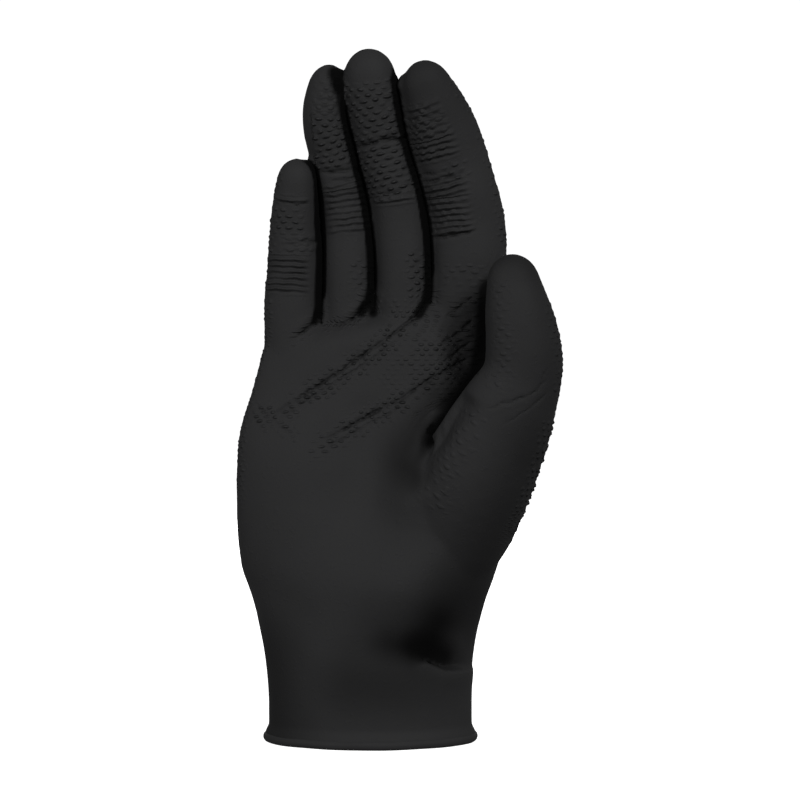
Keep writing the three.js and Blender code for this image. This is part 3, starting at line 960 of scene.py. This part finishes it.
def film_material(finish, film):
    """Black satin nitrile with grip studs, fine grain, faintly rubbed high places, and painted shade in its
    crevices and folds.
    """
    material, tree, shader = new_material("nitrile_film")
    grain = placed_group(tree, skin_grain_group())
    spacings = {"Stud spacing": film.stud_spacing, "Gather spacing": film.gather_spacing}
    grip = placed_group(tree, grip_group(), spacings)
    fold = placed_group(tree, fold_group())
    mottle = math_node(tree, "MULTIPLY", grain.outputs["Mottle"], 0.5)
    worn = math_node(tree, "MULTIPLY", grip.outputs["Raised"], 0.6)
    rubbed = math_node(tree, "ADD", worn, mottle, clamp=True)
    colour = mixed_colour(tree, rubbed, finish.film_colour, finish.scuffed_colour)
    shade_amount = field_value(tree, "painted_shade")
    # Painted shade: the colour darkens to the painted shade colour where the film is closed in or given a
    # painted shadow, and along the fold lines.
    painted_darkness = math_node(tree, "MAXIMUM", shade_amount, math_node(tree, "MULTIPLY", fold.outputs["Line"], 0.8))
    tree.links.new(mixed_colour(tree, painted_darkness, colour, finish.painted_shade_colour), shader.inputs["Base Color"])
    rough = spread_roughness(tree, grain.outputs["Mottle"], finish.roughness - 0.05, finish.roughness + 0.07)
    tree.links.new(math_node(tree, "MAXIMUM", rough, shade_amount), shader.inputs["Roughness"])
    fine = add_node(
        tree, "ShaderNodeBump", {"Strength": 0.25, "Distance": 0.06 * MM}, {"Height": grain.outputs["Height"]}
    )
    specks = math_node(tree, "MULTIPLY", grain.outputs["Specks"], 0.05)
    height = math_node(tree, "ADD", grip.outputs["Height"], specks)
    height = math_node(tree, "SUBTRACT", height, fold.outputs["Line"])
    raised = add_node(
        tree,
        "ShaderNodeBump",
        {"Strength": 1.0, "Distance": 1.1 * MM},
        {"Height": height, "Normal": fine.outputs["Normal"]},
    )
    tree.links.new(raised.outputs["Normal"], shader.inputs["Normal"])
    shader.inputs["Specular IOR Level"].default_value = 0.13
    return material


def rim_material(finish):
    """The same nitrile where it is rolled up: fine lines run round the bead."""
    material, tree, shader = new_material("rolled_nitrile")
    grain = placed_group(tree, skin_grain_group())
    place = tree.nodes.new("ShaderNodeTexCoord").outputs["Object"]
    stretched = add_node(tree, "ShaderNodeMapping", {"Scale": (60.0, 60.0, 2200.0)}, {"Vector": place})
    lines = add_node(
        tree, "ShaderNodeTexNoise", {"Scale": 1.0, "Detail": 2.0}, {"Vector": stretched.outputs[0]}
    )
    colour = mixed_colour(tree, grain.outputs["Mottle"], finish.film_colour, finish.scuffed_colour)
    tree.links.new(colour, shader.inputs["Base Color"])
    rough = spread_roughness(tree, lines.outputs["Fac"], finish.roughness - 0.02, finish.roughness + 0.06)
    tree.links.new(rough, shader.inputs["Roughness"])
    bump = add_node(
        tree, "ShaderNodeBump", {"Strength": 0.5, "Distance": 0.1 * MM}, {"Height": lines.outputs["Fac"]}
    )
    tree.links.new(bump.outputs["Normal"], shader.inputs["Normal"])
    shader.inputs["Specular IOR Level"].default_value = 0.11
    return material


class GLOVE_OT_film(bpy.types.Operator):
    """Makes the film of the glove, with its grip, folds and gathers"""

    bl_idname = "glove.film"
    bl_label = "Make the film"

    def execute(self, context):
        film = context.scene.glove_film
        piece = finished("film", film_mesh(film), film_material(context.scene.glove_finish, film))
        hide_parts("glove")
        return {"FINISHED"}


def rim_mesh(rim):
    """A round bead spun round the cuff's oval, a little uneven in its level."""
    bm = bmesh.new()
    radius = rim.width / 2
    section = bmesh.ops.create_circle(bm, segments=18, radius=rim.radius)["verts"]
    bmesh.ops.rotate(bm, verts=section, cent=(0, 0, 0), matrix=Matrix.Rotation(math.pi / 2, 3, "X"))
    bmesh.ops.translate(bm, verts=section, vec=(radius, 0, 0))
    bmesh.ops.spin(
        bm, geom=list(bm.edges), cent=(0, 0, 0), axis=(0, 0, 1), angle=math.tau, steps=144, use_merge=True
    )
    ratio = rim.depth / rim.width
    for vert in bm.verts:
        turn = math.atan2(vert.co.y, vert.co.x)
        out = math.hypot(vert.co.x, vert.co.y) - radius
        level = 0.06 * MM * math.sin(5 * turn) + 0.04 * MM * math.sin(11 * turn + 1)
        middle = Vector((math.cos(turn) * radius, math.sin(turn) * radius * ratio, 0))
        outward = Vector((math.cos(turn) * ratio, math.sin(turn), 0)).normalized()
        vert.co = middle + outward * out + Vector((0, 0, vert.co.z + rim.radius + level))
    bmesh.ops.remove_doubles(bm, verts=bm.verts, dist=MERGE_DISTANCE)
    bmesh.ops.recalc_face_normals(bm, faces=bm.faces)
    for face in bm.faces:
        face.smooth = True
    return made_mesh(bm, "rolled_rim")


class GLOVE_OT_rim(bpy.types.Operator):
    """Makes the rolled rim round the cuff"""

    bl_idname = "glove.rim"
    bl_label = "Make the rolled rim"

    def execute(self, context):
        scene = context.scene
        finished("rolled_rim", rim_mesh(scene.glove_rim), rim_material(scene.glove_finish))
        return {"FINISHED"}


def soft_light(name, place, size, power):
    """A rectangular light that faces the glove."""
    data = bpy.data.lights.new(name, "AREA")
    data.shape = "RECTANGLE"
    data.size, data.size_y = size
    data.energy = power
    light = bpy.data.objects.new(name, data)
    bpy.context.scene.collection.objects.link(light)
    light.location = place
    light.rotation_euler = (Vector(LIGHT_AIM) - Vector(place)).to_track_quat("-Z", "Y").to_euler()


def pale_floor_material(colour):
    """A plain floor that glows evenly and shows no shadow."""
    material, _, shader = new_material("pale_floor")
    shader.inputs["Base Color"].default_value = (*colour, 1)
    shader.inputs["Roughness"].default_value = 0.9
    shader.inputs["Emission Color"].default_value = (1, 1, 1, 1)
    shader.inputs["Emission Strength"].default_value = 1.0
    return material


def studio_world():
    """A white surround, bright where the camera sees it and dim as a light."""
    world = bpy.data.worlds.new("studio")
    world.use_nodes = True
    tree = world.node_tree
    background = tree.nodes["Background"]
    background.inputs["Color"].default_value = (1, 1, 1, 1)
    seen = tree.nodes.new("ShaderNodeLightPath").outputs["Is Camera Ray"]
    level = add_node(tree, "ShaderNodeMapRange", {"To Min": 0.2, "To Max": 1.05}, {"Value": seen})
    tree.links.new(level.outputs[0], background.inputs["Strength"])
    return world


def level_camera(distance):
    """A camera in front of the glove, at the height of its middle."""
    data = bpy.data.cameras.new("camera")
    data.lens = LENS
    data.sensor_width = 36
    data.clip_start = 0.05
    data.clip_end = 50
    camera = bpy.data.objects.new("camera", data)
    bpy.context.scene.collection.objects.link(camera)
    across, up = VIEW_CENTRE
    camera.location = (across, -distance, up)
    camera.rotation_euler = (math.pi / 2, 0, 0)
    return camera


class GLOVE_OT_stage(bpy.types.Operator):
    """Sets the plain floor, the soft lights and the camera"""

    bl_idname = "glove.stage"
    bl_label = "Set the stage"

    def execute(self, context):
        stage = context.scene.glove_stage
        bm = bmesh.new()
        bmesh.ops.create_circle(bm, cap_ends=True, segments=96, radius=4.0)
        mesh = made_mesh(bm, "floor")
        mesh.materials.append(pale_floor_material(stage.floor_colour))
        floor = bpy.data.objects.new("floor", mesh)
        context.scene.collection.objects.link(floor)
        floor.visible_glossy = False
        floor.visible_diffuse = False
        for name, place, size, share in LIGHTS:
            soft_light(name, place, size, stage.key_power * share)
        context.scene.world = studio_world()
        context.scene.camera = level_camera(stage.distance)
        context.scene.view_settings.view_transform = "Standard"
        return {"FINISHED"}


class GLOVE_PT_panel(bpy.types.Panel):
    """Lists the steps that build the glove"""

    bl_label = "Nitrile Glove"
    bl_idname = "GLOVE_PT_panel"
    bl_space_type = "VIEW_3D"
    bl_region_type = "UI"
    bl_category = "Glove"

    def draw(self, context):
        for operator in STEPS:
            self.layout.operator(operator.bl_idname)
        for group in SETTINGS:
            settings = getattr(context.scene, group)
            for name in settings.bl_rna.properties.keys():
                if name not in {"rna_type", "name"}:
                    self.layout.prop(settings, name)


STEPS = (GLOVE_OT_film, GLOVE_OT_rim, GLOVE_OT_stage)
SETTINGS = {
    "glove_film": GloveFilmSettings,
    "glove_rim": GloveRimSettings,
    "glove_finish": GloveFinishSettings,
    "glove_stage": GloveStageSettings,
}
CLASSES = (*SETTINGS.values(), *STEPS, GLOVE_PT_panel)


def register():
    for cls in CLASSES:
        bpy.utils.register_class(cls)
    for name, group in SETTINGS.items():
        setattr(bpy.types.Scene, name, PointerProperty(type=group))


def unregister():
    for name in SETTINGS:
        delattr(bpy.types.Scene, name)
    for cls in reversed(CLASSES):
        bpy.utils.unregister_class(cls)


def main():
    register()
    bpy.ops.glove.film()
    bpy.ops.glove.rim()
    bpy.ops.glove.stage()


if __name__ == "__main__":
    main()
